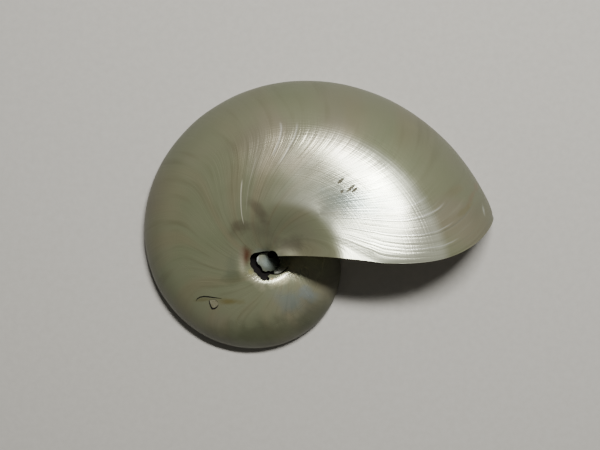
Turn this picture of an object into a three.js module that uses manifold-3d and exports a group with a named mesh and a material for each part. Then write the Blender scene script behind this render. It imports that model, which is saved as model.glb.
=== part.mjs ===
// One half of a polished chambered nautilus shell, sawn along its plane of symmetry and lying on the cut.
//
// Units are millimetres. The origin is where the coiling axis meets the cut face, +Z runs up the coiling
// axis, and +X points from the axis towards the aperture. The shell coils as a logarithmic spiral, so each
// solid is first drawn straight, in section space, and then coiled:
//   x = rho, the distance from the coiling axis, as a share of the venter's radius at that place
//   y = zeta, the height over the cut face, as the same share
//   z = minus theta, the angle turned back from +X, towards the older whorls

import * as THREE from "three";
import { mergeVertices } from "three/addons/utils/BufferGeometryUtils.js";
import Module from "manifold-3d";

const TURN = 2 * Math.PI;
const degrees = THREE.MathUtils.degToRad;
const { lerp } = THREE.MathUtils;

// The spiral
const VENTER_RADIUS = 106.7; // from the axis to the outer edge on the +X ray
const EXPANSION = 0.1973; // growth exponent per radian
const WHORL_RATIO = Math.exp(EXPANSION * TURN); // each whorl is 3.45 times the one before

// The whorl's half section, as shares of the venter radius
const CREST_RHO = 0.31; // the flank's highest line
const CREST_ZETA = 0.37;
const FLATNESS = 2.5; // 2 is an ellipse, and more has a flatter flank and a rounder shoulder
const UMBILICUS_RHO = 0.03; // foot of the slope down into the umbilicus
const UMBILICUS_ZETA = 0.27;
const CENTRE_RHO = 0.5; // walls are measured towards this point of the section
const CENTRE_TO_WALL = 0.45;
const UNDER_CUT = 0.05; // how far a solid runs past the cut face before the cut

// Walls
const WALL = 1.4; // outer wall at the aperture; it thins with the root of the whorl's size
const SEPTUM = 1.0; // chamber wall, by the same rule
const LINING = 0.4; // the coat each room has over the older whorl, by the same rule

// The aperture's edge: how far it lags behind the +X ray
const LIP_FLANK = degrees(-3);
const LIP_SINUS = degrees(13); // it draws back over the outer edge
const LIP_SINUS_FROM = 0.42;
const LIP_SINUS_POWER = 2.4;
const LIP_ROOT = degrees(6); // and a little beside the umbilicus
const LIP_ROOT_TO = 0.45;

// Chambers
const BODY_CHAMBER_FROM = degrees(-30); // past the aperture's edge, so that the mouth is open
const BODY_CHAMBER_TO = degrees(128); // where the animal lived: the last and largest room
const CHAMBER_PITCH = degrees(21);
const CHAMBERS = 21; // further in they are too small to hollow out
const DOME = 0.27; // how far back, in radians, the middle of a chamber wall bulges
const DOME_RHO = 0.64; // the dome's middle and its two half widths
const DOME_HALF_RHO = 0.36;
const DOME_HALF_ZETA = 0.37;

// The siphuncle, a tube that ran through every chamber wall
const SIPHUNCLE_RHO = 0.6;
const SIPHUNCLE_RADIUS = 0.02;

// The worn opening at the umbilicus, and the column of fused inner walls that shows in it
const OPENING_CENTRE = new THREE.Vector2(-2.2, -4.4);
const OPENING_HALF_LENGTH = 7.2;
const OPENING_HALF_WIDTH = 5.2;
const OPENING_TURN = degrees(-32);
const OPENING_FLOOR = 8.5;
const COLUMN_CENTRE = new THREE.Vector2(0.9, -3.2);
const COLUMN_RADIUS = 4.3;
const COLUMN_TOP = 13.5;

// Facets
const TURN_STEPS = 36; // to a full whorl
const WHORL_COLUMNS = 11; // from umbilicus to venter
const ROOM_COLUMNS_OVER_WHORL = 5;
const ROOM_COLUMNS_BESIDE_WHORL = 6;
const ROOM_ROWS = 2; // from floor to roof
const CHAMBER_STEPS = 2; // from wall to wall
const BODY_CHAMBER_STEPS = 18;

const venterRadius = (theta) => VENTER_RADIUS * Math.exp(-EXPANSION * theta);
const wallScale = (theta) => Math.exp((-EXPANSION * theta) / 2);

// Spaces even divisions of 0 to 1 so that they close up towards 1, where the outline turns steep.
const closeUp = (x) => Math.sin((x * Math.PI) / 2);

// The height of a whorl's outline at rho.
function outlineZeta(rho) {
  if (rho > CREST_RHO) {
    const outwards = Math.min(1, (rho - CREST_RHO) / (1 - CREST_RHO));
    return CREST_ZETA * (1 - outwards ** FLATNESS) ** (1 / FLATNESS);
  }
  const x = Math.max(0, (rho - UMBILICUS_RHO) / (CREST_RHO - UMBILICUS_RHO));
  return lerp(UMBILICUS_ZETA, CREST_ZETA, (1 - Math.cos(Math.PI * x)) / 2);
}

// The height of a room's floor at rho: a coat over the older whorl, and beside that whorl the open cut.
function floorZeta(rho, coat) {
  const beside = rho * WHORL_RATIO - 1;
  if (beside > 0) return -UNDER_CUT * Math.min(1, 12 * beside);
  return outlineZeta(rho * WHORL_RATIO) / WHORL_RATIO + coat;
}

// How far behind the +X ray the aperture's edge lies at rho.
function lipLag(rho) {
  const sinus = Math.max(0, (rho - LIP_SINUS_FROM) / (1 - LIP_SINUS_FROM));
  const root = Math.max(0, 1 - rho / LIP_ROOT_TO);
  return LIP_FLANK + LIP_SINUS * sinus ** LIP_SINUS_POWER + LIP_ROOT * root;
}

// How far back a chamber wall bulges: most in its middle, and forward at its rim.
function domeLag(rho, zeta) {
  const q = ((rho - DOME_RHO) / DOME_HALF_RHO) ** 2 + (zeta / DOME_HALF_ZETA) ** 2;
  return DOME * (1.5 * Math.exp(-q) - 0.5);
}

// Coils a straight geometry: every vertex goes from section space to its place on the spiral.
function coil(geometry) {
  const position = geometry.getAttribute("position");
  for (let i = 0; i < position.count; i++) {
    const theta = -position.getZ(i);
    const radius = venterRadius(theta);
    position.setXYZ(
      i,
      position.getX(i) * radius * Math.cos(theta),
      position.getX(i) * radius * Math.sin(theta),
      position.getY(i) * radius,
    );
  }
  return geometry;
}

// A coiled box, whose width, height and depth divisions become the section's rho, its zeta and theta.
// place(across, up, along) returns a point of section space for shares that run from 0 to 1, along
// from the younger end to the older. A mirrored box has its facets' diagonals the other way round.
function coiledBox(columns, rows, steps, place, mirrored = false) {
  const box = new THREE.BoxGeometry(1, 1, 1, columns, rows, steps);
  if (mirrored) box.index.array.reverse();
  const position = box.getAttribute("position");
  for (let i = 0; i < position.count; i++) {
    const x = position.getX(i);
    const across = 0.5 + (mirrored ? -x : x);
    const { rho, zeta, theta } = place(across, 0.5 + position.getY(i), 0.5 - position.getZ(i));
    position.setXYZ(i, rho, zeta, -theta);
  }
  return solidOf(coil(box));
}

// manifold-3d joins and cuts closed meshes.
const wasm = await Module();
wasm.setup();

function solidOf(geometry) {
  geometry.deleteAttribute("normal");
  geometry.deleteAttribute("uv");
  const merged = mergeVertices(geometry, 1e-4);
  return new wasm.Manifold(
    new wasm.Mesh({
      numProp: 3,
      vertProperties: merged.getAttribute("position").array,
      triVerts: new Uint32Array(merged.index.array),
    }),
  );
}

function geometryOf(solid) {
  const mesh = solid.getMesh();
  return new THREE.BufferGeometry()
    .setAttribute("position", new THREE.BufferAttribute(mesh.vertProperties, 3))
    .setIndex(new THREE.BufferAttribute(mesh.triVerts, 1));
}

const unionOf = (solids) => solids.reduce((sum, solid) => sum.add(solid));

// The outer form of half a whorl, solid down to the cut face.
function filledHalfWhorl(from) {
  const to = from + TURN / 2;
  return coiledBox(WHORL_COLUMNS, 1, TURN_STEPS / 2, (across, up, along) => {
    const rho = lerp(UMBILICUS_RHO, 1, closeUp(across));
    return {
      rho,
      zeta: lerp(-UNDER_CUT, outlineZeta(rho), up),
      theta: lerp(from, to, along) + lipLag(rho),
    };
  });
}

// The room inside a whorl from one angle to another. Its roof is a wall's thickness inside the outline,
// its floor is the older whorl it lies on, and its ends bulge back by the shares of a dome given.
function room(from, to, steps, domeFrom, domeTo, mirrored) {
  const columns = ROOM_COLUMNS_OVER_WHORL + ROOM_COLUMNS_BESIDE_WHORL;
  const share = ROOM_COLUMNS_OVER_WHORL / columns;
  const place = (across, up, along) => {
    const theta = lerp(from, to, along);
    const edge =
      across < share
        ? lerp(UMBILICUS_RHO, 1 / WHORL_RATIO, closeUp(across / share))
        : lerp(1 / WHORL_RATIO, 1, closeUp((across - share) / (1 - share)));
    const perMillimetre = wallScale(theta) / venterRadius(theta);
    const inset = (WALL * perMillimetre) / CENTRE_TO_WALL;
    const rho = lerp(edge, CENTRE_RHO, inset);
    const roof = lerp(outlineZeta(edge), 0, inset);
    const zeta = lerp(floorZeta(rho, LINING * perMillimetre), roof, up);
    const dome = lerp(domeFrom, domeTo, along);
    return { rho, zeta, theta: theta + dome * domeLag(rho, zeta) };
  };
  return coiledBox(columns, ROOM_ROWS, steps, place, mirrored);
}

// Chambers are mirrored in turn, so that a wall's two faces have the same facets and can't cross.
function chamber(number) {
  const from = BODY_CHAMBER_TO + number * CHAMBER_PITCH;
  const radius = DOME_RHO * venterRadius(from);
  const halfSeptum = (SEPTUM * wallScale(from)) / (2 * radius);
  const to = from + CHAMBER_PITCH - halfSeptum;
  return room(from + halfSeptum, to, CHAMBER_STEPS, 1, 1, number % 2 === 0);
}

// The hole that the siphuncle's tube left in each chamber wall, as one thin coiled rod.
function siphuncle() {
  const length = CHAMBERS * CHAMBER_PITCH;
  const rod = new THREE.CylinderGeometry(SIPHUNCLE_RADIUS, SIPHUNCLE_RADIUS, length, 8, 2 * CHAMBERS);
  rod.rotateX(Math.PI / 2);
  rod.translate(SIPHUNCLE_RHO, 0, -BODY_CHAMBER_TO - length / 2);
  return solidOf(coil(rod));
}

// The worn opening, as the upright oval post that it removes.
function opening() {
  const height = VENTER_RADIUS;
  const post = new THREE.CylinderGeometry(1, 1, height, 14);
  post.rotateX(Math.PI / 2);
  post.scale(OPENING_HALF_LENGTH, OPENING_HALF_WIDTH, 1);
  post.rotateZ(OPENING_TURN);
  post.translate(OPENING_CENTRE.x, OPENING_CENTRE.y, OPENING_FLOOR + height / 2);
  return solidOf(post);
}

// The fused inner walls along the coiling axis, rounded at the top.
function column() {
  const profile = new THREE.Path();
  profile.moveTo(0, -1);
  profile.lineTo(COLUMN_RADIUS, -1);
  profile.lineTo(COLUMN_RADIUS, COLUMN_TOP - COLUMN_RADIUS);
  profile.absarc(0, COLUMN_TOP - COLUMN_RADIUS, COLUMN_RADIUS, 0, Math.PI / 2);
  const post = new THREE.LatheGeometry(profile.getPoints(4), 16);
  post.rotateX(Math.PI / 2);
  post.translate(COLUMN_CENTRE.x, COLUMN_CENTRE.y, 0);
  return solidOf(post);
}

// Everything on the kept side of the saw cut.
function keptSide() {
  const size = 4 * VENTER_RADIUS;
  const box = new THREE.BoxGeometry(size, size, size);
  box.translate(0, 0, size / 2);
  return solidOf(box);
}

// A sweep of over one turn would run through itself, so the whorls are joined from half turns.
const whorls = unionOf([0, 1, 2].map((half) => filledHalfWhorl((half * TURN) / 2)));

const rooms = [room(BODY_CHAMBER_FROM, BODY_CHAMBER_TO, BODY_CHAMBER_STEPS, 0, 1, false)];
for (let i = 0; i < CHAMBERS; i++) rooms.push(chamber(i));

const shellHalf = whorls
  .subtract(unionOf(rooms))
  .subtract(siphuncle())
  .subtract(opening())
  .add(column())
  .intersect(keptSide());

const nacre = new THREE.MeshStandardMaterial({
  color: 0xb4b5a4,
  roughness: 0.32,
  metalness: 0.25,
});

const shell = new THREE.Mesh(geometryOf(shellHalf), nacre);
shell.name = "nautilus_shell_half";

const part = new THREE.Group();
part.add(shell);

export default part;
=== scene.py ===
"""One half of a polished chambered nautilus shell, sawn along its plane of symmetry.

Everything is in metres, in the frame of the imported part: the cut face lies on z = 0, the coiling axis is
the Z axis, and the aperture opens from it towards +X. A point of the shell is given by
  theta, the angle turned back from +X, towards the older whorls
  rho, its distance from the coiling axis, as a share of the venter's radius at theta
  zeta, its height over the cut face, as the same share
"""

import math

import bmesh
import bpy
from bpy.props import FloatProperty, FloatVectorProperty, IntProperty, PointerProperty
from mathutils import Euler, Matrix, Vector, noise


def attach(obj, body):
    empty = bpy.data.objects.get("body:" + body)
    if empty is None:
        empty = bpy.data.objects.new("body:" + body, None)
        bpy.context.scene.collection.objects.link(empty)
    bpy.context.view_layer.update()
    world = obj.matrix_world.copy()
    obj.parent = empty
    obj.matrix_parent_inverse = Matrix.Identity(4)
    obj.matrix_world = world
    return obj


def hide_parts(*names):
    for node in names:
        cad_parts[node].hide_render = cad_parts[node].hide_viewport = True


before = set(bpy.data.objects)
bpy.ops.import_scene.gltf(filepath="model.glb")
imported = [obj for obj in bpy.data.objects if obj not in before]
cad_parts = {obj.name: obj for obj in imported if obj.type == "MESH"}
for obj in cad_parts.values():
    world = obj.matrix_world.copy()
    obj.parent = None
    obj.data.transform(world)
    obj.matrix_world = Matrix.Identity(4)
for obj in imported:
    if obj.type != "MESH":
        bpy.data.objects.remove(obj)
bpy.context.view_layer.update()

bl_info = {
    "name": "Nautilus Shell Half",
    "version": (1, 0, 0),
    "blender": (4, 5, 0),
    "location": "View3D > Sidebar > Nautilus",
    "description": "Grows a polished half of a chambered nautilus shell and lights it",
    "category": "Add Mesh",
}

NODE = "nautilus_shell_half"

TURN = 2 * math.pi
MM = 0.001

# The whorl's half section.
UMBILICUS = (0.03, 0.27)  # rho and zeta at the foot of the slope into the umbilicus
CREST = (0.31, 0.37)  # rho and zeta of the flank's highest line
FLATNESS = 2.5  # 2 is an ellipse, and more has a flatter flank and a rounder shoulder
CHAMBER_FROM = 0.1  # chambers start at this rho, and the shell inside it is solid
CHAMBER_CALLUS = 0.1  # how much thicker the wall over a chamber is there
BODY_FROM = 0.045  # and the same for the body chamber
BODY_CALLUS = 0.02
CALLUS_TO = 0.36  # the rho at which the thickening ends
CENTRE_RHO = 0.5  # walls are measured towards this point of the cut face
CENTRE_TO_WALL = 0.45  # how far, on average, the outline is from it
COAT_SHARE = 0.35  # the share of a room's columns that lie over the older whorl
UNDER_CUT = 0.05  # how far a solid runs past the cut face before the cut
UNDER_CUT_STEEPNESS = 12  # how fast a room's floor drops that far beside the older whorl

# The three half turns of the whorls, youngest first: columns, steps, and crowding towards the lip.
HALF_TURNS = ((72, 320, 1.5), (56, 170, 1.0), (36, 90, 1.0))
MOST_WHORLS = 5
RIM_SLACK = 0.03  # a place this much past the outline, or past the lip, still counts as on the whorl
LIP_SLACK = 0.01

# The rooms: where the body chamber's tool starts, and each tool's steps, columns and rows.
BODY_FRONT = math.radians(-40)
BODY_MESH = (96, 40, 10)
CHAMBER_MESH = (8, 30, 10)
FINE_CHAMBERS = 16  # the older ones are smaller, and get a coarser mesh
COARSE = 0.7

# The aperture's edge: how far it lags behind the +X ray.
LIP_FLANK = math.radians(-3)
LIP_SINUS = math.radians(13)
LIP_SINUS_FROM = 0.42
LIP_SINUS_POWER = 2.4
LIP_ROOT = math.radians(6)
LIP_ROOT_TO = 0.45
LIP_WORN = 0.006  # the outer face is worn down towards the edge, as a share of the radius
LIP_WORN_OVER = math.radians(0.7)
LIP_THIN = 0.008  # and the room widens towards it
LIP_THIN_OVER = math.radians(4)

# The swells where the shell grew in steps: degrees between them, how often they change outwards, a seed,
# their height as a share of the radius, and how much higher they are at the lip.
SWELLS = (
    (8, 1.5, 3.1, 0.0014, 0.0),
    (2.4, 2.5, 7.7, 0.0005, 0.0005),
    (0.9, 4.0, 5.2, 0.0, 0.0004),
)
SWELLS_FROM = 0.1  # the rho they start at, and how much further out they reach their full height
SWELLS_OVER = 0.2
NEAR_LIP = math.radians(30)

# Older growth lines lean back towards the umbilicus and, less, towards the venter.
LINE_ROOT = math.radians(65)
LINE_ROOT_TO = 0.72
LINE_ROOT_POWER = 1.7
LINE_SINUS = math.radians(12)
LINE_SINUS_FROM = 0.55
LIP_REACH = math.radians(22)  # how far back the lines still follow the lip

# A chamber wall's dome: how far back its middle bulges, and where that is.
DOME = 0.27
DOME_MIDDLE = 0.64
DOME_HALF = (0.36, 0.37)

# The siphuncle's hole through the chamber walls, which the saw opened along its length.
SIPHUNCLE_RHO = 0.6
SIPHUNCLE_RADIUS = 0.02
SIPHUNCLE_SIDES = 12
SIPHUNCLE_STEPS = 30
SIPHUNCLE_PIECES = 2.2  # in a turn, at least
SIPHUNCLE_AHEAD = 0.1  # it starts this far ahead of the body chamber's end, in radians
SIPHUNCLE_GAP = 0.004  # and its tool's pieces stand this far apart


class ShellSizes(bpy.types.PropertyGroup):
    """The shell's main sizes."""

    venter_radius: FloatProperty(
        name="Venter radius",
        description="From the coiling axis to the outer edge beside the aperture",
        default=106.7 * MM,
        unit="LENGTH",
    )
    expansion: FloatProperty(
        name="Expansion",
        description="Growth exponent per radian of coiling",
        default=0.1973,
    )
    wall: FloatProperty(
        name="Wall",
        description="Thickness of the outer wall near the aperture",
        default=1.4 * MM,
        unit="LENGTH",
    )
    septum: FloatProperty(
        name="Chamber wall",
        description="Thickness of a chamber wall, at the size of whorl beside the aperture",
        default=0.9 * MM,
        unit="LENGTH",
    )
    coat: FloatProperty(
        name="Coat",
        description="Thickness of the coat each room has over the older whorl",
        default=0.4 * MM,
        unit="LENGTH",
    )
    body_chamber: FloatProperty(
        name="Body chamber",
        description="How far back the last and largest room reaches",
        default=math.radians(128),
        subtype="ANGLE",
    )
    pitch: FloatProperty(
        name="Chamber pitch",
        description="Angle from one chamber wall to the next",
        default=math.radians(21),
        subtype="ANGLE",
    )
    chambers: IntProperty(
        name="Chambers",
        description="How many chambers lie behind the body chamber",
        default=33,
    )


def pearl(name, description, default):
    """A colour property that holds sRGB values."""
    return FloatVectorProperty(
        name=name,
        description=description,
        subtype="COLOR_GAMMA",
        size=3,
        default=tuple((default >> shift & 255) / 255 for shift in (16, 8, 0)),
    )


class ShellColours(bpy.types.PropertyGroup):
    """The nacre's colours."""

    nacre: pearl("Nacre", "Polished mother-of-pearl of the flank", 0x84866A)
    rose: pearl("Rose", "The rose lights in the nacre", 0x8E7E72)
    green: pearl("Green", "The green lights in the nacre", 0x788260)
    warm: pearl("Warm", "The warmer bands of growth", 0x8C8064)
    streak: pearl("Streak", "The darker streaks of growth", 0x6A674C)
    # Painted highlight: the buffed band of the flank near the aperture is painted this bright.
    bright: pearl("Bright", "The buffed flank near the aperture", 0xD2D4C4)
    # Partly painted shade: the outer edge's colour is darkened where it turns away from the light.
    dull_and_shade: pearl("Dull edge", "The outer edge, which is dull", 0x3B3D30)
    inner: pearl("Inner nacre", "Unpolished nacre of the rooms", 0xC9C4B4)
    inner_rose: pearl("Inner rose", "The rose lights in the rooms", 0xCDBAB2)
    inner_green: pearl("Inner green", "The green lights in the rooms", 0xB4C0AE)
    sawn: pearl("Sawn edge", "The sawn wall", 0xCFC8B4)
    sawn_dark: pearl("Sawn layers", "The darker layers in the sawn wall", 0xAFA68E)


def shell_sizes():
    """The sizes as they are set now."""
    return bpy.context.scene.nautilus_sizes


def linear(colour):
    """An sRGB hex value or colour, as linear RGBA."""
    if isinstance(colour, int):
        colour = [(colour >> shift & 255) / 255 for shift in (16, 8, 0)]
    return (
        *(
            c / 12.92 if c <= 0.04045 else ((c + 0.055) / 1.055) ** 2.4
            for c in colour
        ),
        1.0,
    )


def venter_radius(theta):
    """The whorl's outer radius at theta, in metres."""
    sizes = shell_sizes()
    return sizes.venter_radius * math.exp(-sizes.expansion * theta)


def whorl_ratio():
    """How many times wider each whorl is than the one inside it."""
    return math.exp(shell_sizes().expansion * TURN)


def close_up(x):
    """Spaces even steps of 0 to 1 so that they close up towards 1, where the outline turns steep."""
    return math.sin(x * math.pi / 2)


def mix(a, b, share):
    """From a to b by a share."""
    return a + (b - a) * share


def outline_zeta(rho):
    """The height of a whorl's outline at rho."""
    if rho > CREST[0]:
        x = min(1.0, (rho - CREST[0]) / (1 - CREST[0]))
        return CREST[1] * (1 - x**FLATNESS) ** (1 / FLATNESS)
    x = max(0.0, (rho - UMBILICUS[0]) / (CREST[0] - UMBILICUS[0]))
    return mix(UMBILICUS[1], CREST[1], (1 - math.cos(math.pi * x)) / 2)


def floor_zeta(rho, coat):
    """The height of a room's floor: a coat over the older whorl, and beside that the open cut."""
    beside = rho * whorl_ratio() - 1
    if beside > 0:
        return -UNDER_CUT * min(1.0, UNDER_CUT_STEEPNESS * beside)
    return outline_zeta(rho * whorl_ratio()) / whorl_ratio() + coat


def lip_lag(rho):
    """How far behind the +X ray the aperture's edge lies at rho."""
    sinus = max(0.0, (rho - LIP_SINUS_FROM) / (1 - LIP_SINUS_FROM))
    root = max(0.0, 1 - rho / LIP_ROOT_TO)
    return LIP_FLANK + LIP_SINUS * sinus**LIP_SINUS_POWER + LIP_ROOT * root


def growth(rho, theta):
    """The age of the shell at a point, as the angle between its growth line and the lip."""
    sinus = max(0.0, (rho - LINE_SINUS_FROM) / (1 - LINE_SINUS_FROM))
    root = max(0.0, 1 - rho / LINE_ROOT_TO)
    line = LINE_ROOT * root**LINE_ROOT_POWER + LINE_SINUS * sinus**2
    near_lip = math.exp(-max(0.0, theta - LIP_FLANK) / LIP_REACH)
    return theta - mix(line, lip_lag(rho), near_lip)


def dome_lag(rho, zeta):
    """How far back a chamber wall bulges: most in its middle, and forward at its rim."""
    q = ((rho - DOME_MIDDLE) / DOME_HALF[0]) ** 2 + (zeta / DOME_HALF[1]) ** 2
    return DOME * (1.5 * math.exp(-q) - 0.5)


def whorl_at(x, y):
    """The youngest whorl over a place: its angle there, and the place's rho in it."""
    turned = math.atan2(y, x)
    for whorl in range(MOST_WHORLS):
        theta = turned + whorl * TURN
        rho = math.hypot(x, y) / venter_radius(theta)
        behind_lip = theta - lip_lag(min(rho, 1.0)) > -LIP_SLACK
        if UMBILICUS[0] <= rho <= 1 + RIM_SLACK and behind_lip:
            return theta, min(rho, 1.0)
    return theta, 1.0


def surface(x, y):
    """The height of the shell's outside over a place, in metres."""
    theta, rho = whorl_at(x, y)
    return outline_zeta(rho) * venter_radius(theta)


def section(columns, rows, place):
    """One section of the whorl: a grid that place(across, up) puts at a rho, zeta and theta."""
    bm = bmesh.new()
    bmesh.ops.create_grid(bm, x_segments=columns, y_segments=rows, size=0.5)
    for vert in bm.verts:
        rho, zeta, theta = place(vert.co.x + 0.5, vert.co.y + 0.5)
        vert.co = shell_sizes().venter_radius * Vector(
            (rho * math.cos(theta), rho * math.sin(theta), zeta)
        )
    return bm


def grow(bm, start, angle, steps, relief=None, crowding=1.0):
    """Spins a section about the coiling axis, then shrinks each point by how far back it has turned.

    A crowding over 1 sets the steps closer together towards the younger end.
    """
    bmesh.ops.spin(
        bm,
        geom=[*bm.verts, *bm.edges, *bm.faces],
        cent=(0, 0, 0),
        axis=(0, 0, 1),
        angle=angle,
        steps=steps,
        use_merge=False,
    )
    sizes = shell_sizes()
    middle = start + angle / 2
    for vert in bm.verts:
        rho = vert.co.xy.length / sizes.venter_radius
        turned = math.atan2(vert.co.y, vert.co.x) - middle
        theta = middle + turned - TURN * round(turned / TURN)
        share = (theta - start - lip_lag(min(rho, 1.0))) / angle
        if crowding > 1 and share > 0:
            moved = angle * (min(share, 1.0) ** crowding - min(share, 1.0))
            vert.co.rotate(Euler((0, 0, moved)))
            theta += moved
        swell = relief(rho, theta) if relief else 0.0
        vert.co *= math.exp(-sizes.expansion * theta) * (1 + swell)
    bmesh.ops.recalc_face_normals(bm, faces=bm.faces)
    return bm


def new_mesh(name, bm):
    """A mesh from a bmesh, which is used up."""
    mesh = bpy.data.meshes.new(name)
    bm.to_mesh(mesh)
    bm.free()
    return mesh


def new_object(name, mesh, material):
    """An object at the origin, in the scene."""
    obj = bpy.data.objects.new(name, mesh)
    obj.data.materials.append(material)
    bpy.context.collection.objects.link(obj)
    return obj


def combine(target, tool, operation):
    """Joins, cuts or keeps the target with the tool, which is used up."""
    modifier = target.modifiers.new(operation, "BOOLEAN")
    modifier.operation = operation
    modifier.solver = "MANIFOLD"
    modifier.material_mode = "TRANSFER"
    modifier.object = tool
    bpy.context.view_layer.update()
    graph = bpy.context.evaluated_depsgraph_get()
    mesh = bpy.data.meshes.new_from_object(target.evaluated_get(graph))
    target.modifiers.clear()
    target.data = mesh
    bpy.data.objects.remove(tool)


def growth_relief(rho, theta):
    """The low swells of growth and the worn lip, as shares of the radius."""
    age = growth(rho, theta)
    flank = max(0.0, min(1.0, (rho - SWELLS_FROM) / SWELLS_OVER))
    near_lip = math.exp(-max(0.0, age) / NEAR_LIP)
    swells = 0.0
    for spacing, across, seed, height, more in SWELLS:
        place = Vector((math.degrees(age) / spacing, rho * across, seed))
        swells += (height + more * near_lip) * noise.noise(place)
    worn_lip = LIP_WORN * math.exp(-max(0.0, age) / LIP_WORN_OVER)
    return flank * (swells - worn_lip)


def lip_thinning(rho, theta):
    """How much the body chamber widens towards the lip, as a share of the radius."""
    return LIP_THIN * math.exp(-max(0.0, theta - lip_lag(min(rho, 1.0))) / LIP_THIN_OVER)


def filled_whorls(material):
    """The whorls, solid, joined from half turns, since a longer sweep would cross itself."""
    whole = None
    for half, (columns, steps, crowding) in enumerate(HALF_TURNS):
        start = half * TURN / 2

        def place(across, up):
            rho = mix(UMBILICUS[0], 1, close_up(across))
            return (
                rho,
                mix(-UNDER_CUT, outline_zeta(rho), up),
                start + lip_lag(rho),
            )

        bm = section(columns, 1, place)
        grow(bm, start, TURN / 2, steps, growth_relief, crowding)
        form = new_object("whorls", new_mesh("whorls", bm), material)
        if whole is None:
            whole = form
        else:
            combine(whole, form, "UNION")
    return whole


def room(start, angle, mesh, inner, callus, relief=None):
    """A room from one angle back, outside rho inner: its roof lies a wall inside the outline."""
    sizes = shell_sizes()
    steps, columns, rows = mesh
    over = round(columns * COAT_SHARE)
    per_metre = math.exp(sizes.expansion * start / 2) / sizes.venter_radius
    inset = sizes.wall * per_metre / CENTRE_TO_WALL

    def place(across, up):
        share = across * columns / over
        if share < 1:
            edge = mix(inner, 1 / whorl_ratio(), close_up(share))
        else:
            share = (across * columns - over) / (columns - over)
            edge = mix(1 / whorl_ratio(), 1, close_up(share))
        rho = mix(edge, CENTRE_RHO, inset)
        roof = mix(outline_zeta(edge), 0, inset)
        outwards = min(1.0, (edge - inner) / (CALLUS_TO - inner))
        roof -= callus * (1 + math.cos(math.pi * outwards)) / 2
        zeta = mix(floor_zeta(rho, sizes.coat * per_metre), roof, up)
        return rho, zeta, start + dome_lag(rho, zeta)

    bm = section(columns, rows, place)
    return new_mesh("room", grow(bm, start, angle, steps, relief))


def rooms(material):
    """The body chamber and the chambers behind it, as one tool."""
    sizes = shell_sizes()
    reach = sizes.body_chamber - BODY_FRONT
    made = [room(BODY_FRONT, reach, BODY_MESH, BODY_FROM, BODY_CALLUS, lip_thinning)]
    for number in range(sizes.chambers):
        start = sizes.body_chamber + number * sizes.pitch
        thickness = sizes.septum * math.exp(-sizes.expansion * start / 2)
        half = thickness / (2 * DOME_MIDDLE * venter_radius(start))
        fineness = 1 if number < FINE_CHAMBERS else COARSE
        mesh = [round(count * fineness) for count in CHAMBER_MESH]
        reach = sizes.pitch - 2 * half
        made.append(room(start + half, reach, mesh, CHAMBER_FROM, CHAMBER_CALLUS))
    bm = bmesh.new()
    for mesh in made:
        bm.from_mesh(mesh)
        bpy.data.meshes.remove(mesh)
    return new_object("rooms", new_mesh("rooms", bm), material)


def siphuncle(material):
    """The hole that the siphuncle ran in: a round section spun in pieces under half a turn long."""
    sizes = shell_sizes()
    reach = sizes.chambers * sizes.pitch
    pieces = math.ceil(SIPHUNCLE_PIECES * reach / TURN)
    made = bmesh.new()
    for number in range(pieces):
        start = sizes.body_chamber - SIPHUNCLE_AHEAD + number * reach / pieces
        bm = bmesh.new()
        bmesh.ops.create_circle(
            bm,
            cap_ends=True,
            segments=SIPHUNCLE_SIDES,
            radius=SIPHUNCLE_RADIUS * sizes.venter_radius,
        )
        middle = Vector((SIPHUNCLE_RHO * sizes.venter_radius, 0, 0))
        bmesh.ops.rotate(bm, matrix=Euler((math.pi / 2, 0, 0)).to_matrix(), verts=bm.verts)
        bmesh.ops.translate(bm, vec=middle, verts=bm.verts)
        bmesh.ops.rotate(bm, matrix=Euler((0, 0, start)).to_matrix(), verts=bm.verts)
        grow(bm, start, reach / pieces - SIPHUNCLE_GAP, SIPHUNCLE_STEPS)
        mesh = new_mesh("siphuncle", bm)
        made.from_mesh(mesh)
        bpy.data.meshes.remove(mesh)
    return new_object("siphuncle", new_mesh("siphuncle", made), material)


def kept_side(material):
    """Everything above the saw cut."""
    bm = bmesh.new()
    bmesh.ops.create_cube(bm, size=1)
    bmesh.ops.translate(bm, vec=(0, 0, 0.5), verts=bm.verts)
    return new_object("kept_side", new_mesh("kept_side", bm), material)


def post(name, outline, bottom, top, material):
    """A cutter over an outline of x, y points in millimetres, from bottom(x, y) up to the top."""
    bm = bmesh.new()
    verts = []
    for x, y in outline:
        x, y = x * MM, y * MM
        verts.append(bm.verts.new((x, y, bottom(x, y))))
    face = bm.faces.new(verts)
    raised = bmesh.ops.extrude_face_region(bm, geom=[face])["geom"]
    for item in raised:
        if isinstance(item, bmesh.types.BMVert):
            item.co.z = top
    bmesh.ops.triangulate(bm, faces=bm.faces)
    bmesh.ops.recalc_face_normals(bm, faces=bm.faces)
    return new_object(name, new_mesh(name, bm), material)


def sunk(depth):
    """A floor at a depth in millimetres under the shell's outside."""
    return lambda x, y: surface(x, y) - depth * MM


def gap_floor(x, y):
    """The floor of the gap, which is deepest level with the coiling axis."""
    return surface(x, y) - (GAP_DEPTH + GAP_SHALLOWER * min(0.0, y / MM)) * MM


def ribbon(points, widths):
    """The outline of a ribbon along some points, with its width at each."""
    left, right = [], []
    for number, (point, width) in enumerate(zip(points, widths)):
        before = Vector(points[max(0, number - 1)])
        after = Vector(points[min(len(points) - 1, number + 1)])
        along = (after - before).normalized()
        across = Vector((-along.y, along.x)) * width / 2
        left.append(tuple(Vector(point) + across))
        right.append(tuple(Vector(point) - across))
    return left + right[::-1]


# Outlines of the wear, in millimetres from the coiling axis.

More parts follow.
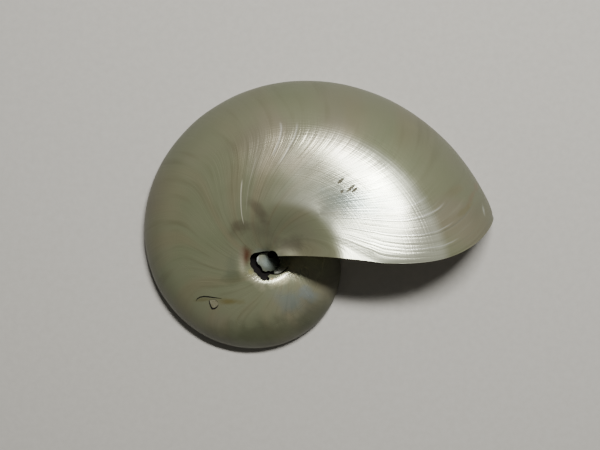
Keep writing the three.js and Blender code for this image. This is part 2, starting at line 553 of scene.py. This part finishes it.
# The dark gap round the fused inner whorls: its outer side, then back along its inner side.
GAP = (
    (-1.0, 2.1),
    (-3.2, 2.0),
    (-5.4, 1.6),
    (-7.6, 1.2),
    (-8.9, 0.3),
    (-9.5, -1.2),
    (-9.3, -2.4),
    (-9.5, -3.6),
    (-9.0, -5.0),
    (-8.0, -6.1),
    (-7.8, -7.2),
    (-6.7, -7.9),
    (-6.0, -9.0),
    (-5.0, -9.6),
    (-4.5, -10.6),
    (-3.3, -11.3),
    (-2.3, -10.9),
    (-1.3, -11.4),
    (-0.8, -10.2),
    (-1.6, -9.2),
    (-0.6, -8.4),
    (0.9, -8.6),
    (3.1, -8.6),
    (4.6, -8.1),
    (6.2, -7.0),
    (7.6, -5.6),
    (7.3, -5.3),
    (5.8, -6.6),
    (4.3, -7.6),
    (3.0, -8.1),
    (1.3, -8.0),
    (0.9, -6.7),
    (-0.4, -7.2),
    (-1.4, -6.8),
    (-2.6, -7.3),
    (-3.9, -6.7),
    (-4.3, -5.5),
    (-5.0, -4.4),
    (-6.0, -3.8),
    (-6.6, -2.4),
    (-6.5, -1.0),
    (-5.8, 0.0),
    (-4.6, 0.8),
    (-2.8, 1.3),
    (-1.2, 1.5),
)
GAP_DEPTH = 5.0  # level with the coiling axis, and less below it
GAP_SHALLOWER = 0.23  # for each millimetre towards -Y
KNOB = (-2.0, -3.2)  # the middle of the fused whorls that the gap surrounds
KNOB_RADIUS = 5.4
KNOB_STRETCH = 1.1
KNOB_ROUNDING = 2.6  # how far its edge has worn down
KNOB_ABOVE = 4  # what lies lower than this isn't worn
KNOB_TOP_EDGE = 1.6  # nor what lies past this Y, where the lip's root starts

CRACK = (
    (-33.6, -20.2),
    (-33.0, -19.2),
    (-31.8, -18.5),
    (-29.9, -18.15),
    (-27.9, -18.3),
    (-25.7, -18.6),
    (-23.9, -18.8),
    (-22.0, -19.1),
)
CRACK_WIDTHS = (0.15, 0.4, 0.55, 0.6, 0.6, 0.5, 0.35, 0.12)
CRACK_DEPTH = 0.35
CHIP = (
    (-27.5, -19.6),
    (-25.2, -19.4),
    (-23.9, -20.3),
    (-23.6, -21.9),
    (-24.6, -23.4),
    (-26.6, -24.0),
    (-27.3, -22.4),
)
CHIP_DEPTH = 0.25
CHIP_EDGE = (
    (-27.7, -19.8),
    (-27.5, -21.2),
    (-27.0, -22.7),
    (-26.4, -23.7),
    (-25.3, -23.6),
    (-24.3, -22.9),
    (-23.6, -21.9),
)
CHIP_EDGE_WIDTHS = (0.2, 0.5, 0.6, 0.9, 0.8, 0.5, 0.2)
CHIP_EDGE_DEPTH = 0.4
NICKS = (
    ((29.0, 31.6), (31.8, 33.9)),
    ((33.0, 28.2), (36.4, 30.9)),
    ((30.2, 27.7), (31.6, 28.6)),
    ((35.2, 27.8), (37.6, 29.9)),
)
NICK_ALONG = (0.0, 0.4, 0.75, 1.0)  # where along a nick each of its widths is
NICK_WIDTHS = (0.4, 1.4, 1.1, 0.4)
NICK_DEPTH = 0.25

CUTTER_TOP = 60 * MM  # clear above the shell
SHARP = math.radians(35)  # a sharper fold than this is shaded as an edge


def spiral_map(mesh):
    """Adds the UV map "spiral": u is the growth line through a point, in turns, and v is its rho."""
    layer = mesh.uv_layers.new(name="spiral")
    for face in mesh.polygons:
        x, y, _ = face.center
        middle, _ = whorl_at(x, y)
        turned = math.atan2(y, x)
        for loop in face.loop_indices:
            co = mesh.vertices[mesh.loops[loop].vertex_index].co
            step = math.atan2(co.y, co.x) - turned
            theta = middle + step - TURN * round(step / TURN)
            rho = min(1.0, math.hypot(co.x, co.y) / venter_radius(theta))
            layer.data[loop].uv = (growth(rho, theta) / TURN, rho)


def round_knob(mesh):
    """Wears the fused inner whorls down to a low dome, lowest along the gap."""
    for vert in mesh.vertices:
        x, y, z = vert.co / MM
        away = math.hypot(x - KNOB[0], (y - KNOB[1]) * KNOB_STRETCH)
        if z > KNOB_ABOVE and away < KNOB_RADIUS and y < KNOB_TOP_EDGE:
            vert.co.z -= KNOB_ROUNDING * MM * (away / KNOB_RADIUS) ** 2


def add(tree, kind, inputs=None, output=0, **settings):
    """Adds a shader node with its settings and its inputs, values or links, and returns one output."""
    node = tree.nodes.new("ShaderNode" + kind)
    for name, value in settings.items():
        setattr(node, name, value)
    for name, value in (inputs or {}).items():
        if isinstance(name, str):
            socket = next(s for s in node.inputs if name in (s.identifier, s.name))
        else:
            socket = node.inputs[name]
        if isinstance(value, bpy.types.NodeSocket):
            tree.links.new(value, socket)
        else:
            socket.default_value = value
    if isinstance(output, str):
        return next(s for s in node.outputs if output in (s.identifier, s.name))
    return node.outputs[output] if node.outputs else None


def spiral_scale(across, along):
    """The scale of a pattern on the map "spiral", from its sizes in mm across and along growth lines."""
    return (FLANK_ROUND / across, FLANK_OUTWARDS / along, 1.0)


def new_material(name):
    """A material without nodes, and its node tree."""
    material = bpy.data.materials.new(name)
    material.use_nodes = True
    tree = material.node_tree
    tree.nodes.clear()
    return material, tree


FLANK_ROUND = 314  # the middle of the last whorl's flank is this many millimetres round
FLANK_OUTWARDS = 80  # and its venter this many from the coiling axis

# Marks on the outside: x, y, half widths, turn in degrees, colour, strength. Millimetres. Some are painted
# light and painted shade, as noted.
MARKS = (
    (-11.5, -0.8, 2.7, 5.0, -10, 0x5E3A25, 1.0),  # reddish-brown film left of the gap
    (-12.9, -3.4, 2.0, 6.0, 0, 0xB9B49A, 0.5),  # pale ring outside it: painted light on the umbilical shoulder, which faces the light
    # painted light on the same shoulder, below the gap
    (-7.6, -11.0, 4.6, 2.6, -42, 0xC4BFA2, 0.6),
    (-9.3, -7.2, 1.5, 2.2, 30, 0xA9A45C, 0.45),  # yellowish: painted light on the same shoulder
    (-2.0, -3.2, 6.6, 6.2, 0, 0x7A857E, 1.0),  # the fused inner whorls are bluer
    (-6.3, -1.6, 0.6, 2.2, -14, 0xC9CEC6, 0.8),  # and their rim paler
    (3.2, -7.2, 2.8, 1.1, 24, 0xD0D2C6, 0.9),
    (0.2, -10.4, 0.9, 0.6, 0, 0x8E6A34, 0.7),
    # painted highlight on the older whorl's shoulder below the gap
    (4.6, -11.4, 4.6, 1.9, 28, 0xD8D2A8, 0.6),
    (-15.0, 11.8, 5.0, 4.2, 30, 0x544A3A, 0.65),  # brown smudges beside the umbilicus
    (-6.0, 20.2, 6.0, 2.8, -55, 0x5C5142, 0.55),
    (-16.4, -9.6, 4.4, 3.2, 20, 0x565C3E, 0.5),
    (-17.0, -4.5, 6.5, 4.0, 60, 0x6C725E, 0.4),
    # painted shade above the umbilicus, where the flank slopes away from the light and the lip's root
    # shades it
    (-1.0, 9.0, 9.0, 4.0, -30, 0x6E6857, 0.35),
    (7.0, 4.0, 8.0, 5.0, 0, 0x5A5548, 0.6),
    (-18.0, -20.4, 5.2, 1.7, -6, 0x6F6128, 0.6),  # ochre film at the end of the crack
    (-30.5, -19.6, 4.4, 0.8, 6, 0x6B6238, 0.45),
    (8.0, -20.0, 8.0, 5.5, -30, 0x71807E, 0.5),  # bluish lights low on the older whorl
    (16.5, -17.0, 5.5, 3.0, -30, 0x7C8F99, 0.4),
    (-2.0, -35.0, 30.0, 8.0, 4, 0x40432F, 0.6),  # painted shade: the older whorl is darker low down, where it faces away from the light
    (20.0, -28.0, 14.0, 9.0, 35, 0x3D4030, 0.6),
    (84.5, 19.8, 8.0, 1.5, 34, 0x66623F, 0.4),  # olive streaks behind the lip's tip
    (89.5, 27.6, 6.5, 1.4, 60, 0x6A5440, 0.4),
    (82.0, 29.5, 6.5, 2.4, 30, 0x6B6048, 0.3),
    (62.5, 57.5, 3.4, 1.8, -35, 0x6C6A50, 0.3),
    (94.2, 20.0, 0.6, 2.8, 8, 0xB4B9AE, 0.3),
    (30.4, 32.8, 2.8, 1.3, 38, 0x7C8077, 0.55),  # darker round the nicks
    (35.4, 29.2, 3.2, 1.7, 38, 0x7C8077, 0.55),
    (37.0, 23.5, 15.0, 8.0, -14, 0x7E8B84, 0.8),  # a calmer, bluish field in the lit flank, darkened as painted shade where it reflects less of the light
)

# Single growth lines: degrees behind the lip, half width in degrees, colour, strength, from and to rho.
# The near-white ones close to the lip are painted highlights, glints of the light on growth ridges in the
# lit band.
LINES = (
    (1.3, 0.22, 0x7B7B66, 0.35, 0.3, 0.95),
    (2.9, 0.3, 0x6F705C, 0.4, 0.3, 0.95),
    (4.0, 0.18, 0xE3E6DA, 0.4, 0.3, 0.8),
    (5.3, 0.3, 0x83836E, 0.35, 0.35, 0.9),
    (7.8, 0.25, 0x66685A, 0.6, 0.3, 0.97),
    (8.7, 0.2, 0xE6EADF, 0.35, 0.3, 0.8),
    (11.0, 0.3, 0x8A8A74, 0.3, 0.35, 0.9),
    (13.6, 0.25, 0x7A7D6C, 0.4, 0.3, 0.85),
    (14.6, 0.25, 0xF0F2E8, 0.4, 0.3, 0.8),
    (16.3, 0.25, 0x8B8C79, 0.4, 0.3, 0.8),
    (19.5, 0.3, 0xEDEFE6, 0.3, 0.3, 0.75),
    (101.0, 0.55, 0xEFEBD2, 0.75, 0.26, 0.5),
    (94.0, 0.5, 0xC9C5B0, 0.3, 0.3, 0.6),
    (84.0, 0.6, 0xD9D9CC, 0.35, 0.55, 0.75),
    (77.0, 0.5, 0xD9D9CC, 0.3, 0.5, 0.74),
)


def polished_nacre():
    """Mother-of-pearl, ground and buffed: silky along the growth lines, with soft rose and green lights.

    Aragonite has an IOR of 1.6. Its stacked plates throw light back almost as a metal does, so the
    metallic share stands in for them, and the buffed surface is a thin coat over the silkier layers.
    """
    colours = bpy.context.scene.nautilus_colours
    material, tree = new_material("polished_nacre")
    uv = add(tree, "UVMap", uv_map="spiral")
    place = add(tree, "TexCoord", output="Object")
    parts = add(tree, "SeparateXYZ", {"Vector": uv}).node.outputs
    # The age of the shell in degrees of coiling, and rho.
    age = add(tree, "Math", {0: parts["X"], 1: 360.0}, operation="MULTIPLY")
    rho = parts["Y"]

    # Growth lines a fraction of a millimetre to some millimetres apart, and finer lines round the coil
    # across them. The real ones go down to 0.05 mm, too fine to show, so they start at 0.5 mm.
    noises = {}
    for name, across, along, detail in (
        ("fine", 0.73, 20, 2.0),
        ("coarse", 3.9, 32, 2.0),
        ("broad", 14, 53, 1.0),
        ("coiled", 52, 0.53, 2.0),
    ):
        stretched = add(
            tree, "Mapping", {"Vector": uv, "Scale": spiral_scale(across, along)}
        )
        noises[name] = add(
            tree, "TexNoise", {"Vector": stretched, "Scale": 1.0, "Detail": detail}
        )
    for name, spacing, detail in (("lights", 36, 2.0), ("haze", 17, 3.0)):
        noises[name] = add(
            tree,
            "TexNoise",
            {"Vector": place, "Scale": 1 / (spacing * MM), "Detail": detail},
        )

    # The base: warm grey-olive, with broad rose and green lights, streaked along the growth lines.
    colour = linear(colours.nacre)
    for noise_name, low, high, other in (
        ("lights", 0.5, 0.72, linear(colours.rose)),
        ("lights", 0.5, 0.3, linear(colours.green)),
        ("broad", 0.45, 0.7, linear(colours.warm)),
        ("coarse", 0.5, 0.75, linear(colours.streak)),
    ):
        share = add(
            tree,
            "MapRange",
            {"Value": noises[noise_name], "From Min": low, "From Max": high, "To Max": 0.38},
            interpolation_type="SMOOTHSTEP",
        )
        colour = add(
            tree,
            "Mix",
            {"Factor_Float": share, "A_Color": colour, "B_Color": other},
            "Result_Color",
            data_type="RGBA",
        )

    # The flank between two faint lines round the coil is buffed, and there its colour is painted brighter
    # near the aperture only, as a painted highlight of the long light.
    share = 0.35
    for value, none, full in ((rho, 0.26, 0.32), (rho, 0.74, 0.69), (age, 80.0, 25.0)):
        inside = add(
            tree,
            "MapRange",
            {"Value": value, "From Min": none, "From Max": full},
            interpolation_type="SMOOTHSTEP",
        )
        share = add(tree, "Math", {0: inside, 1: share}, operation="MULTIPLY")
    colour = add(
        tree,
        "Mix",
        {"Factor_Float": share, "A_Color": colour, "B_Color": linear(colours.bright)},
        "Result_Color",
        data_type="RGBA",
    )

    # The outer edge is duller: rougher, less metallic, with less coat, and its colour is darkened as
    # painted shade where it turns down away from the light.
    dull_and_shade = add(
        tree,
        "MapRange",
        {"Value": rho, "From Min": 0.68, "From Max": 0.97},
        interpolation_type="SMOOTHSTEP",
    )
    share = add(tree, "Math", {0: dull_and_shade, 1: 0.62}, operation="MULTIPLY")
    colour = add(
        tree,
        "Mix",
        {"Factor_Float": share, "A_Color": colour, "B_Color": linear(colours.dull_and_shade)},
        "Result_Color",
        data_type="RGBA",
    )

    # Marks, with soft ragged edges; some are painted light and painted shade.
    fringe = 1 / (6.7 * MM)
    ragged = add(tree, "TexNoise", {"Vector": place, "Scale": fringe, "Detail": 4.0})
    ragged = add(tree, "Math", {0: ragged, 1: 2.4, 2: -1.2}, operation="MULTIPLY_ADD")
    for x, y, wide, high, turned, hue, strength in MARKS:
        local = add(
            tree,
            "VectorRotate",
            {"Vector": place, "Center": (x * MM, y * MM, 0.0), "Angle": -math.radians(turned)},
        )
        local = add(
            tree, "VectorMath", {0: local, 1: (x * MM, y * MM, 0.0)}, operation="SUBTRACT"
        )
        local = add(
            tree,
            "VectorMath",
            {0: local, 1: (1 / (wide * MM), 1 / (high * MM), 0.0)},
            operation="MULTIPLY",
        )
        away = add(tree, "VectorMath", {0: local}, "Value", operation="LENGTH")
        fray = min(1.0, 4 / high)
        away = add(tree, "Math", {0: ragged, 1: fray, 2: away}, operation="MULTIPLY_ADD")
        share = add(
            tree,
            "MapRange",
            {"Value": away, "From Min": 1.3, "From Max": 0.1, "To Max": strength},
            interpolation_type="SMOOTHSTEP",
        )
        colour = add(
            tree,
            "Mix",
            {"Factor_Float": share, "A_Color": colour, "B_Color": linear(hue)},
            "Result_Color",
            data_type="RGBA",
        )

    # Single growth lines; the near-white ones close to the lip are painted highlights.
    wavering = add(
        tree, "Math", {0: noises["haze"], 1: 1.6, 2: age}, operation="MULTIPLY_ADD"
    )
    grooves = 0.0
    for behind, half, hue, strength, start, end in LINES:
        off = add(tree, "Math", {0: wavering, 1: behind + 0.8}, operation="SUBTRACT")
        off = add(tree, "Math", {0: off}, operation="ABSOLUTE")
        share = add(
            tree,
            "MapRange",
            {"Value": off, "From Min": half * 1.7, "From Max": 0.0, "To Max": strength * 0.8},
            interpolation_type="SMOOTHSTEP",
        )
        middle, reach = (start + end) / 2, (end - start) / 2
        off = add(tree, "Math", {0: rho, 1: middle}, operation="SUBTRACT")
        off = add(tree, "Math", {0: off}, operation="ABSOLUTE")
        within = add(
            tree,
            "MapRange",
            {"Value": off, "From Min": reach, "From Max": reach * 0.7},
            interpolation_type="SMOOTHSTEP",
        )
        share = add(tree, "Math", {0: share, 1: within}, operation="MULTIPLY")
        colour = add(
            tree,
            "Mix",
            {"Factor_Float": share, "A_Color": colour, "B_Color": linear(hue)},
            "Result_Color",
            data_type="RGBA",
        )
        grooves = add(tree, "Math", {0: share, 1: grooves}, operation="ADD")

    # The single lines are grooves, and the rest are low ridges.
    height = noises["coarse"]
    for value, amount in ((noises["fine"], 0.8), (noises["coiled"], 0.3), (grooves, -0.9)):
        height = add(tree, "Math", {0: value, 1: amount, 2: height}, operation="MULTIPLY_ADD")
    bump = add(tree, "Bump", {"Strength": 0.22, "Distance": 0.4 * MM, "Height": height})
    rough = add(
        tree,
        "MapRange",
        {"Value": noises["haze"], "From Min": 0.35, "From Max": 0.7, "To Min": 0.21, "To Max": 0.3},
    )
    # The shell beside the coiling axis, where no buffing wheel reaches, is matt.
    unbuffed = add(
        tree,
        "MapRange",
        {"Value": rho, "From Min": 0.16, "From Max": 0.07},
        interpolation_type="SMOOTHSTEP",
    )
    rough = add(tree, "Math", {0: dull_and_shade, 1: 0.3, 2: rough}, operation="MULTIPLY_ADD")
    rough = add(tree, "Math", {0: unbuffed, 1: 0.4, 2: rough}, operation="MULTIPLY_ADD")
    metallic = add(tree, "Math", {0: dull_and_shade, 1: -0.4, 2: 0.5}, operation="MULTIPLY_ADD")
    coat = add(tree, "Math", {0: dull_and_shade, 1: -0.25, 2: 0.25}, operation="MULTIPLY_ADD")
    shader = add(
        tree,
        "BsdfPrincipled",
        {
            "Base Color": colour,
            "Metallic": metallic,
            "Roughness": rough,
            "IOR": 1.6,
            "Coat Weight": coat,
            "Coat Roughness": 0.1,
            "Normal": bump,
            "Anisotropic": 0.5,
            "Tangent": add(tree, "Tangent", direction_type="RADIAL", axis="Z"),
        },
    )
    add(tree, "OutputMaterial", {"Surface": shader})
    return material


def worn(name, colour, other, spacing, roughness, bumps, metallic=0.0):
    """A matt surface, rough, with two colours in grains: for broken or soiled shell, for the painted shade
    in the gap, and for the floor.

    The spacing of the grains and the height of the bumps are in millimetres.
    """
    material, tree = new_material(name)
    place = add(tree, "TexCoord", output="Object")
    grains = add(
        tree,
        "TexNoise",
        {"Vector": place, "Scale": 1 / (spacing * MM), "Detail": 4.0, "Roughness": 0.6},
    )
    share = add(tree, "MapRange", {"Value": grains, "From Min": 0.35, "From Max": 0.65})
    bump = add(tree, "Bump", {"Strength": 0.6, "Distance": bumps * MM, "Height": grains})
    rough = add(
        tree,
        "MapRange",
        {"Value": grains, "To Min": roughness - 0.12, "To Max": roughness + 0.12},
    )
    shader = add(
        tree,
        "BsdfPrincipled",
        {
            "Base Color": add(
                tree,
                "Mix",
                {"Factor_Float": share, "A_Color": linear(colour), "B_Color": linear(other)},
                "Result_Color",
                data_type="RGBA",
            ),
            "Roughness": rough,
            "Metallic": metallic,
            "Specular IOR Level": 0.25,
            "Normal": bump,
        },
    )
    add(tree, "OutputMaterial", {"Surface": shader})
    return material


def inner_nacre():
    """Mother-of-pearl as it grew inside the rooms, not buffed: paler and softer than the outside.

    It has the same soft rose and green lights, and only faint growth lines.
    """
    colours = bpy.context.scene.nautilus_colours
    material, tree = new_material("inner_nacre")
    place = add(tree, "TexCoord", output="Object")
    uv = add(tree, "UVMap", uv_map="spiral")
    cloud = 1 / (22 * MM)
    lights = add(tree, "TexNoise", {"Vector": place, "Scale": cloud, "Detail": 3.0})
    stretched = add(tree, "Mapping", {"Vector": uv, "Scale": spiral_scale(2.9, 27)})
    lines = add(tree, "TexNoise", {"Vector": stretched, "Scale": 1.0, "Detail": 3.0})
    colour = linear(colours.inner)
    for value, low, high, other in (
        (lights, 0.5, 0.7, linear(colours.inner_rose)),
        (lights, 0.5, 0.3, linear(colours.inner_green)),
        (lines, 0.5, 0.75, linear(colours.sawn)),
    ):
        share = add(
            tree,
            "MapRange",
            {"Value": value, "From Min": low, "From Max": high, "To Max": 0.7},
            interpolation_type="SMOOTHSTEP",
        )
        colour = add(
            tree,
            "Mix",
            {"Factor_Float": share, "A_Color": colour, "B_Color": other},
            "Result_Color",
            data_type="RGBA",
        )
    bump = add(tree, "Bump", {"Strength": 0.15, "Distance": 0.4 * MM, "Height": lines})
    shader = add(
        tree,
        "BsdfPrincipled",
        {
            "Base Color": colour,
            "Metallic": 0.3,
            "Roughness": 0.3,
            "IOR": 1.6,
            "Coat Weight": 0.3,
            "Coat Roughness": 0.15,
            "Normal": bump,
        },
    )
    add(tree, "OutputMaterial", {"Surface": shader})
    return material


def sawn_nacre():
    """Nacre cut across by a fine saw: matt and cream, with its layers showing as lines along the wall.

    The real layers are a few thousandths of a millimetre thick, too fine to show, so they are drawn
    0.2 mm apart, and the saw's scratches 0.4 mm apart.
    """
    colours = bpy.context.scene.nautilus_colours
    material, tree = new_material("sawn_nacre")
    place = add(tree, "TexCoord", output="Object")
    uv = add(tree, "UVMap", uv_map="spiral")
    stretched = add(tree, "Mapping", {"Vector": uv, "Scale": spiral_scale(52, 0.19)})
    layers = add(tree, "TexNoise", {"Vector": stretched, "Scale": 1.0, "Detail": 2.0})
    scratches = (1 / (25 * MM), 1 / (0.4 * MM), 1.0)
    stretched = add(tree, "Mapping", {"Vector": place, "Scale": scratches})
    kerf = add(tree, "TexNoise", {"Vector": stretched, "Scale": 1.0, "Detail": 2.0})
    share = add(tree, "MapRange", {"Value": layers, "From Min": 0.4, "From Max": 0.65})
    colour = add(
        tree,
        "Mix",
        {"Factor_Float": share, "A_Color": linear(colours.sawn), "B_Color": linear(colours.sawn_dark)},
        "Result_Color",
        data_type="RGBA",
    )
    bump = add(tree, "Bump", {"Strength": 0.3, "Distance": 0.1 * MM, "Height": kerf})
    rough = add(tree, "MapRange", {"Value": kerf, "To Min": 0.45, "To Max": 0.7})
    shader = add(
        tree,
        "BsdfPrincipled",
        {"Base Color": colour, "Roughness": rough, "IOR": 1.6, "Normal": bump},
    )
    add(tree, "OutputMaterial", {"Surface": shader})
    return material


# The stage: the floor, the room's light, one long soft light from the lip's side, and the camera above.
FLOOR_SIZE = 3
FLOOR_Z = -0.0002
ROOM_LIGHT = 0xF1F0EC
ROOM_STRENGTH = 0.1
KEY_TARGET = (0.03, 0.03, 0.03)
KEY_FROM = (math.radians(71), math.radians(63.5))
KEY_DISTANCE = 0.8
KEY_SIZE = (0.31, 0.09)
KEY_WATTS = 11.0
CAMERA_OVER = (0.0128, 0.0137)
CAMERA_HEIGHT = 0.55
VIEW_WIDTH = 0.276  # how much of the floor the camera sees across
SENSOR = 36


class NAUTILUS_OT_shell(bpy.types.Operator):
    """Grow the shell half: its whorls, the rooms in them, the wear, and the saw cut"""

    bl_idname = "nautilus.shell"
    bl_label = "Shell half"

    def execute(self, context):
        shell = filled_whorls(polished_nacre())
        inside = inner_nacre()
        combine(shell, rooms(inside), "DIFFERENCE")
        combine(shell, siphuncle(inside), "DIFFERENCE")
        top = CUTTER_TOP
        # Near black: painted shade that fills the deep gap round the fused inner whorls, and the same
        # near-black in the crack and along the chip's edge, so dark that it hides how deep the gap and the
        # crack are.
        dark = worn("near_black_shade", 0x060504, 0x130E0A, 1.2, 0.75, 0.2)
        # The layers under a flake: as pale as the outside, without its gloss.
        broken = worn("broken_nacre", 0x7E7C66, 0x6A664F, 0.8, 0.55, 0.08, 0.2)
        combine(shell, post("gap", GAP, gap_floor, top, dark), "DIFFERENCE")
        round_knob(shell.data)
        combine(shell, post("chip", CHIP, sunk(CHIP_DEPTH), top, broken), "DIFFERENCE")
        for name, points, widths, depth in (
            ("chip_edge", CHIP_EDGE, CHIP_EDGE_WIDTHS, CHIP_EDGE_DEPTH),
            ("crack", CRACK, CRACK_WIDTHS, CRACK_DEPTH),
        ):
            outline = ribbon(points, widths)
            combine(shell, post(name, outline, sunk(depth), top, dark), "DIFFERENCE")
        # The nicks are darker.
        darkened = worn("darker_pit", 0x4A4738, 0x67644F, 0.6, 0.6, 0.05)
        for nick in NICKS:
            start, end = Vector(nick[0]), Vector(nick[1])
            outline = ribbon([start.lerp(end, share) for share in NICK_ALONG], NICK_WIDTHS)
            combine(shell, post("nick", outline, sunk(NICK_DEPTH), top, darkened), "DIFFERENCE")
        combine(shell, kept_side(sawn_nacre()), "INTERSECT")
        shell.name = "shell_half"
        shell.data.name = "shell_half"
        spiral_map(shell.data)
        shell.data.shade_smooth()
        shell.data.set_sharp_from_angle(angle=SHARP)
        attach(shell, "root")
        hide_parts(NODE)
        return {"FINISHED"}


class NAUTILUS_OT_stage(bpy.types.Operator):
    """Lay the pale floor, and set the lights and the camera"""

    bl_idname = "nautilus.stage"
    bl_label = "Stage"

    def execute(self, context):
        bm = bmesh.new()
        bmesh.ops.create_grid(bm, x_segments=1, y_segments=1, size=FLOOR_SIZE)
        pale = worn("pale_floor", 0xB4B1A9, 0xB0ADA5, 3.0, 0.8, 0.01)
        floor = new_object("floor", new_mesh("floor", bm), pale)
        floor.location.z = FLOOR_Z

        world = bpy.data.worlds.new("studio")
        context.scene.world = world
        world.use_nodes = True
        background = world.node_tree.nodes["Background"]
        background.inputs["Color"].default_value = linear(ROOM_LIGHT)
        background.inputs["Strength"].default_value = ROOM_STRENGTH

        light = bpy.data.lights.new("key", "AREA")
        light.shape = "RECTANGLE"
        light.size, light.size_y = KEY_SIZE
        light.energy = KEY_WATTS
        lamp = bpy.data.objects.new("key", light)
        azimuth, elevation = KEY_FROM
        towards = Vector(
            (
                math.cos(azimuth) * math.cos(elevation),
                math.sin(azimuth) * math.cos(elevation),
                math.sin(elevation),
            )
        )
        lamp.location = Vector(KEY_TARGET) + KEY_DISTANCE * towards
        lamp.rotation_euler = towards.to_track_quat("Z", "Y").to_euler()
        context.collection.objects.link(lamp)

        camera = bpy.data.objects.new("camera", bpy.data.cameras.new("camera"))
        camera.location = (*CAMERA_OVER, CAMERA_HEIGHT)
        camera.data.sensor_width = SENSOR
        camera.data.lens = SENSOR * CAMERA_HEIGHT / VIEW_WIDTH
        context.collection.objects.link(camera)
        context.scene.camera = camera
        return {"FINISHED"}


class NAUTILUS_PT_panel(bpy.types.Panel):
    """The shell's sizes and colours, and a button for each step"""

    bl_idname = "NAUTILUS_PT_panel"
    bl_label = "Nautilus shell half"
    bl_space_type = "VIEW_3D"
    bl_region_type = "UI"
    bl_category = "Nautilus"

    def draw(self, context):
        for group in (context.scene.nautilus_sizes, context.scene.nautilus_colours):
            column = self.layout.column()
            for name in group.__annotations__:
                column.prop(group, name)
        for operator in OPERATORS:
            self.layout.operator(operator.bl_idname)


OPERATORS = (NAUTILUS_OT_shell, NAUTILUS_OT_stage)
CLASSES = (ShellSizes, ShellColours, *OPERATORS, NAUTILUS_PT_panel)


def register():
    """Adds the classes, and the sizes and colours of each scene."""
    for cls in CLASSES:
        bpy.utils.register_class(cls)
    bpy.types.Scene.nautilus_sizes = PointerProperty(type=ShellSizes)
    bpy.types.Scene.nautilus_colours = PointerProperty(type=ShellColours)


def unregister():
    """Takes them away again."""
    del bpy.types.Scene.nautilus_colours
    del bpy.types.Scene.nautilus_sizes
    for cls in reversed(CLASSES):
        bpy.utils.unregister_class(cls)


def main():
    """Makes the shell half and the stage."""
    register()
    bpy.ops.nautilus.shell()
    bpy.ops.nautilus.stage()


if __name__ == "__main__":
    main()
